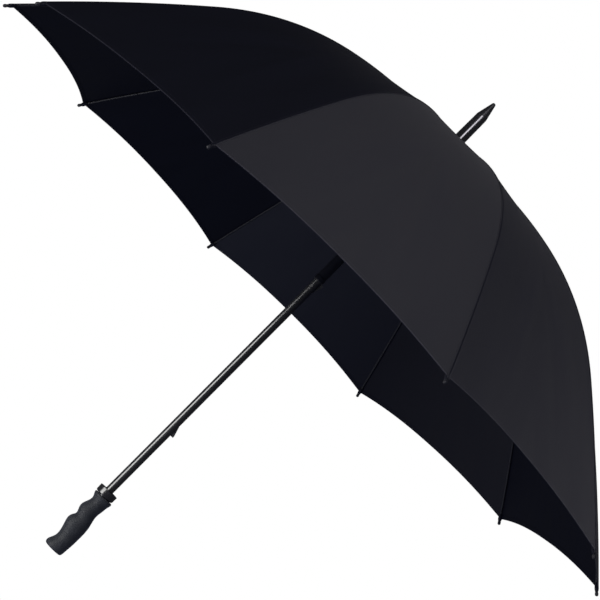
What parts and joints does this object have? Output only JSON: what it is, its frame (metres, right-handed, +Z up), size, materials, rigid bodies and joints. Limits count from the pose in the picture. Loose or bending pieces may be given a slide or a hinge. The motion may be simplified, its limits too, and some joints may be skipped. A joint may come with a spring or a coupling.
{
  "type": "golf umbrella",
  "caption": "Large straight golf umbrella shown open: domed black cloth canopy with ribbed frame, long shaft, pointed ferrule and contoured rubber grip.",
  "frame": {"origin": "centre of the handle's flat bottom end, on the shaft's axis", "axes": "+Z up the shaft towards the ferrule; +X towards the first rib, the side of the catches and the palm side of the grip; +Y completes a right-handed set"},
  "size_m": [1.3162, 1.252, 0.9846],
  "materials": {
    "canopy_cloth": "matt woven pongee",
    "shaft_gloss": "gloss black",
    "rod_black": "satin black fibreglass",
    "black_plastic": "gloss black moulding",
    "grip_rubber": "matt dark grey foam rubber",
    "steel": "plain wire",
    "steel_black": "blackened spring steel"
  },
  "bodies": {
    "shaft": {"shaft_tube": "shaft_gloss", "handle_grip": "grip_rubber", "tip_cup": "black_plastic", "crown_notch": "black_plastic", "crown_wire": "steel", "crown_rivet": "steel", "ferrule": "shaft_gloss", "top_rosette": "canopy_cloth"},
    "runner": {"runner": "black_plastic", "runner_wire": "steel"},
    "lower_catch": {"lower_catch": "steel_black"},
    "upper_catch": {"upper_catch": "steel_black"},
    "rib_inner_01": {"rib_inner_01": "rod_black", "canopy_gore_01": "canopy_cloth"},
    "rib_outer_01": {"rib_outer_01": "rod_black"},
    "stretcher_01": {"stretcher_01": "rod_black"},
    "rib_inner_02": {"rib_inner_02": "rod_black", "canopy_gore_02": "canopy_cloth"},
    "rib_outer_02": {"rib_outer_02": "rod_black"},
    "stretcher_02": {"stretcher_02": "rod_black"},
    "rib_inner_03": {"rib_inner_03": "rod_black", "canopy_gore_03": "canopy_cloth"},
    "rib_outer_03": {"rib_outer_03": "rod_black"},
    "stretcher_03": {"stretcher_03": "rod_black"},
    "rib_inner_04": {"rib_inner_04": "rod_black", "canopy_gore_04": "canopy_cloth"},
    "rib_outer_04": {"rib_outer_04": "rod_black"},
    "stretcher_04": {"stretcher_04": "rod_black"},
    "rib_inner_05": {"rib_inner_05": "rod_black", "canopy_gore_05": "canopy_cloth"},
    "rib_outer_05": {"rib_outer_05": "rod_black"},
    "stretcher_05": {"stretcher_05": "rod_black"},
    "rib_inner_06": {"rib_inner_06": "rod_black", "canopy_gore_06": "canopy_cloth"},
    "rib_outer_06": {"rib_outer_06": "rod_black"},
    "stretcher_06": {"stretcher_06": "rod_black"},
    "rib_inner_07": {"rib_inner_07": "rod_black", "canopy_gore_07": "canopy_cloth"},
    "rib_outer_07": {"rib_outer_07": "rod_black"},
    "stretcher_07": {"stretcher_07": "rod_black"},
    "rib_inner_08": {"rib_inner_08": "rod_black", "canopy_gore_08": "canopy_cloth"},
    "rib_outer_08": {"rib_outer_08": "rod_black"},
    "stretcher_08": {"stretcher_08": "rod_black"},
    "rib_inner_09": {"rib_inner_09": "rod_black", "canopy_gore_09": "canopy_cloth"},
    "rib_outer_09": {"rib_outer_09": "rod_black"},
    "stretcher_09": {"stretcher_09": "rod_black"},
    "rib_inner_10": {"rib_inner_10": "rod_black", "canopy_gore_10": "canopy_cloth"},
    "rib_outer_10": {"rib_outer_10": "rod_black"},
    "stretcher_10": {"stretcher_10": "rod_black"}
  },
  "joints": [
    {"name": "rib_01_fold", "type": "hinge", "parent": "shaft", "child": "rib_inner_01", "pos_m": [0.011, 0, 0.884], "axis": [0, 1, 0], "range_deg": [0, 76.72], "deforming": ["canopy_gore_01", "canopy_gore_02", "canopy_gore_03", "canopy_gore_04", "canopy_gore_05", "canopy_gore_06", "canopy_gore_07", "canopy_gore_08", "canopy_gore_09", "canopy_gore_10", "lower_catch", "upper_catch"]},
    {"name": "rib_02_fold", "type": "hinge", "parent": "shaft", "child": "rib_inner_02", "pos_m": [0.0089, 0.00647, 0.884], "axis": [-0.5878, 0.809, 0], "range_deg": [0, 76.72], "deforming": ["canopy_gore_02"]},
    {"name": "rib_03_fold", "type": "hinge", "parent": "shaft", "child": "rib_inner_03", "pos_m": [0.0034, 0.01046, 0.884], "axis": [-0.9511, 0.309, 0], "range_deg": [0, 76.72], "deforming": ["canopy_gore_03"]},
    {"name": "rib_04_fold", "type": "hinge", "parent": "shaft", "child": "rib_inner_04", "pos_m": [-0.0034, 0.01046, 0.884], "axis": [-0.9511, -0.309, 0], "range_deg": [0, 76.72], "deforming": ["canopy_gore_04"]},
    {"name": "rib_05_fold", "type": "hinge", "parent": "shaft", "child": "rib_inner_05", "pos_m": [-0.0089, 0.00647, 0.884], "axis": [-0.5878, -0.809, 0], "range_deg": [0, 76.72], "deforming": ["canopy_gore_05"]},
    {"name": "rib_06_fold", "type": "hinge", "parent": "shaft", "child": "rib_inner_06", "pos_m": [-0.011, 0, 0.884], "axis": [0, -1, 0], "range_deg": [0, 76.72], "deforming": ["canopy_gore_06"]},
    {"name": "rib_07_fold", "type": "hinge", "parent": "shaft", "child": "rib_inner_07", "pos_m": [-0.0089, -0.00647, 0.884], "axis": [0.5878, -0.809, 0], "range_deg": [0, 76.72], "deforming": ["canopy_gore_07"]},
    {"name": "rib_08_fold", "type": "hinge", "parent": "shaft", "child": "rib_inner_08", "pos_m": [-0.0034, -0.01046, 0.884], "axis": [0.9511, -0.309, 0], "range_deg": [0, 76.72], "deforming": ["canopy_gore_08"]},
    {"name": "rib_09_fold", "type": "hinge", "parent": "shaft", "child": "rib_inner_09", "pos_m": [0.0034, -0.01046, 0.884], "axis": [0.9511, 0.309, 0], "range_deg": [0, 76.72], "deforming": ["canopy_gore_09"]},
    {"name": "rib_10_fold", "type": "hinge", "parent": "shaft", "child": "rib_inner_10", "pos_m": [0.0089, -0.00647, 0.884], "axis": [0.5878, 0.809, 0], "range_deg": [0, 76.72], "deforming": ["canopy_gore_10"]},
    {"name": "rib_01_flex", "type": "hinge", "parent": "rib_inner_01", "child": "rib_outer_01", "pos_m": [0.30563, 0, 0.82919], "axis": [0, -1, 0], "range_deg": [0, 24.59]},
    {"name": "rib_02_flex", "type": "hinge", "parent": "rib_inner_02", "child": "rib_outer_02", "pos_m": [0.24726, 0.17965, 0.82919], "axis": [0.5878, -0.809, 0], "range_deg": [0, 24.59]},
    {"name": "rib_03_flex", "type": "hinge", "parent": "rib_inner_03", "child": "rib_outer_03", "pos_m": [0.09445, 0.29067, 0.82919], "axis": [0.9511, -0.309, 0], "range_deg": [0, 24.59]},
    {"name": "rib_04_flex", "type": "hinge", "parent": "rib_inner_04", "child": "rib_outer_04", "pos_m": [-0.09445, 0.29067, 0.82919], "axis": [0.9511, 0.309, 0], "range_deg": [0, 24.59]},
    {"name": "rib_05_flex", "type": "hinge", "parent": "rib_inner_05", "child": "rib_outer_05", "pos_m": [-0.24726, 0.17965, 0.82919], "axis": [0.5878, 0.809, 0], "range_deg": [0, 24.59]},
    {"name": "rib_06_flex", "type": "hinge", "parent": "rib_inner_06", "child": "rib_outer_06", "pos_m": [-0.30563, 0, 0.82919], "axis": [0, 1, 0], "range_deg": [0, 24.59]},
    {"name": "rib_07_flex", "type": "hinge", "parent": "rib_inner_07", "child": "rib_outer_07", "pos_m": [-0.24726, -0.17965, 0.82919], "axis": [-0.5878, 0.809, 0], "range_deg": [0, 24.59]},
    {"name": "rib_08_flex", "type": "hinge", "parent": "rib_inner_08", "child": "rib_outer_08", "pos_m": [-0.09445, -0.29067, 0.82919], "axis": [-0.9511, 0.309, 0], "range_deg": [0, 24.59]},
    {"name": "rib_09_flex", "type": "hinge", "parent": "rib_inner_09", "child": "rib_outer_09", "pos_m": [0.09445, -0.29067, 0.82919], "axis": [-0.9511, -0.309, 0], "range_deg": [0, 24.59]},
    {"name": "rib_10_flex", "type": "hinge", "parent": "rib_inner_10", "child": "rib_outer_10", "pos_m": [0.24726, -0.17965, 0.82919], "axis": [-0.5878, -0.809, 0], "range_deg": [0, 24.59]},
    {"name": "stretcher_01_turn", "type": "hinge", "parent": "rib_inner_01", "child": "stretcher_01", "pos_m": [0.29205, 0, 0.82603], "axis": [0, -1, 0], "range_deg": [0, 153.45]},
    {"name": "stretcher_02_turn", "type": "hinge", "parent": "rib_inner_02", "child": "stretcher_02", "pos_m": [0.23627, 0.17166, 0.82603], "axis": [0.5878, -0.809, 0], "range_deg": [0, 153.45]},
    {"name": "stretcher_03_turn", "type": "hinge", "parent": "rib_inner_03", "child": "stretcher_03", "pos_m": [0.09025, 0.27775, 0.82603], "axis": [0.9511, -0.309, 0], "range_deg": [0, 153.45]},
    {"name": "stretcher_04_turn", "type": "hinge", "parent": "rib_inner_04", "child": "stretcher_04", "pos_m": [-0.09025, 0.27775, 0.82603], "axis": [0.9511, 0.309, 0], "range_deg": [0, 153.45]},
    {"name": "stretcher_05_turn", "type": "hinge", "parent": "rib_inner_05", "child": "stretcher_05", "pos_m": [-0.23627, 0.17166, 0.82603], "axis": [0.5878, 0.809, 0], "range_deg": [0, 153.45]},
    {"name": "stretcher_06_turn", "type": "hinge", "parent": "rib_inner_06", "child": "stretcher_06", "pos_m": [-0.29205, 0, 0.82603], "axis": [0, 1, 0], "range_deg": [0, 153.45]},
    {"name": "stretcher_07_turn", "type": "hinge", "parent": "rib_inner_07", "child": "stretcher_07", "pos_m": [-0.23627, -0.17166, 0.82603], "axis": [-0.5878, 0.809, 0], "range_deg": [0, 153.45]},
    {"name": "stretcher_08_turn", "type": "hinge", "parent": "rib_inner_08", "child": "stretcher_08", "pos_m": [-0.09025, -0.27775, 0.82603], "axis": [-0.9511, 0.309, 0], "range_deg": [0, 153.45]},
    {"name": "stretcher_09_turn", "type": "hinge", "parent": "rib_inner_09", "child": "stretcher_09", "pos_m": [0.09025, -0.27775, 0.82603], "axis": [-0.9511, -0.309, 0], "range_deg": [0, 153.45]},
    {"name": "stretcher_10_turn", "type": "hinge", "parent": "rib_inner_10", "child": "stretcher_10", "pos_m": [0.23627, -0.17166, 0.82603], "axis": [-0.5878, -0.809, 0], "range_deg": [0, 153.45]},
    {"name": "runner_slide", "type": "hinge", "parent": "stretcher_01", "child": "runner", "pos_m": [0.011, 0, 0.76806], "axis": [0, 1, 0], "range_deg": [0, 76.73]},
    {"name": "lower_catch_press", "type": "slide", "parent": "shaft", "child": "lower_catch", "axis": [-1, 0, 0], "range_m": [0, 0.0052], "stiffness_N_per_m": 900, "springref_m": -0.001},
    {"name": "upper_catch_press", "type": "slide", "parent": "shaft", "child": "upper_catch", "axis": [-1, 0, 0], "range_m": [0, 0.0052], "stiffness_N_per_m": 900, "springref_m": -0.001}
  ],
  "couplings": [
    {"joint": "rib_02_fold", "follows": "rib_01_fold", "ratio": 1},
    {"joint": "rib_03_fold", "follows": "rib_01_fold", "ratio": 1},
    {"joint": "rib_04_fold", "follows": "rib_01_fold", "ratio": 1},
    {"joint": "rib_05_fold", "follows": "rib_01_fold", "ratio": 1},
    {"joint": "rib_06_fold", "follows": "rib_01_fold", "ratio": 1},
    {"joint": "rib_07_fold", "follows": "rib_01_fold", "ratio": 1},
    {"joint": "rib_08_fold", "follows": "rib_01_fold", "ratio": 1},
    {"joint": "rib_09_fold", "follows": "rib_01_fold", "ratio": 1},
    {"joint": "rib_10_fold", "follows": "rib_01_fold", "ratio": 1},
    {"joint": "rib_01_flex", "follows": "rib_01_fold", "ratio": 0.3198},
    {"joint": "rib_02_flex", "follows": "rib_01_fold", "ratio": 0.3198},
    {"joint": "rib_03_flex", "follows": "rib_01_fold", "ratio": 0.3198},
    {"joint": "rib_04_flex", "follows": "rib_01_fold", "ratio": 0.3198},
    {"joint": "rib_05_flex", "follows": "rib_01_fold", "ratio": 0.3198},
    {"joint": "rib_06_flex", "follows": "rib_01_fold", "ratio": 0.3198},
    {"joint": "rib_07_flex", "follows": "rib_01_fold", "ratio": 0.3198},
    {"joint": "rib_08_flex", "follows": "rib_01_fold", "ratio": 0.3198},
    {"joint": "rib_09_flex", "follows": "rib_01_fold", "ratio": 0.3198},
    {"joint": "rib_10_flex", "follows": "rib_01_fold", "ratio": 0.3198},
    {"joint": "stretcher_01_turn", "follows": "rib_01_fold", "ratio": 2},
    {"joint": "stretcher_02_turn", "follows": "rib_01_fold", "ratio": 2},
    {"joint": "stretcher_03_turn", "follows": "rib_01_fold", "ratio": 2},
    {"joint": "stretcher_04_turn", "follows": "rib_01_fold", "ratio": 2},
    {"joint": "stretcher_05_turn", "follows": "rib_01_fold", "ratio": 2},
    {"joint": "stretcher_06_turn", "follows": "rib_01_fold", "ratio": 2},
    {"joint": "stretcher_07_turn", "follows": "rib_01_fold", "ratio": 2},
    {"joint": "stretcher_08_turn", "follows": "rib_01_fold", "ratio": 2},
    {"joint": "stretcher_09_turn", "follows": "rib_01_fold", "ratio": 2},
    {"joint": "stretcher_10_turn", "follows": "rib_01_fold", "ratio": 2},
    {"joint": "runner_slide", "follows": "rib_01_fold", "ratio": 1}
  ]
}
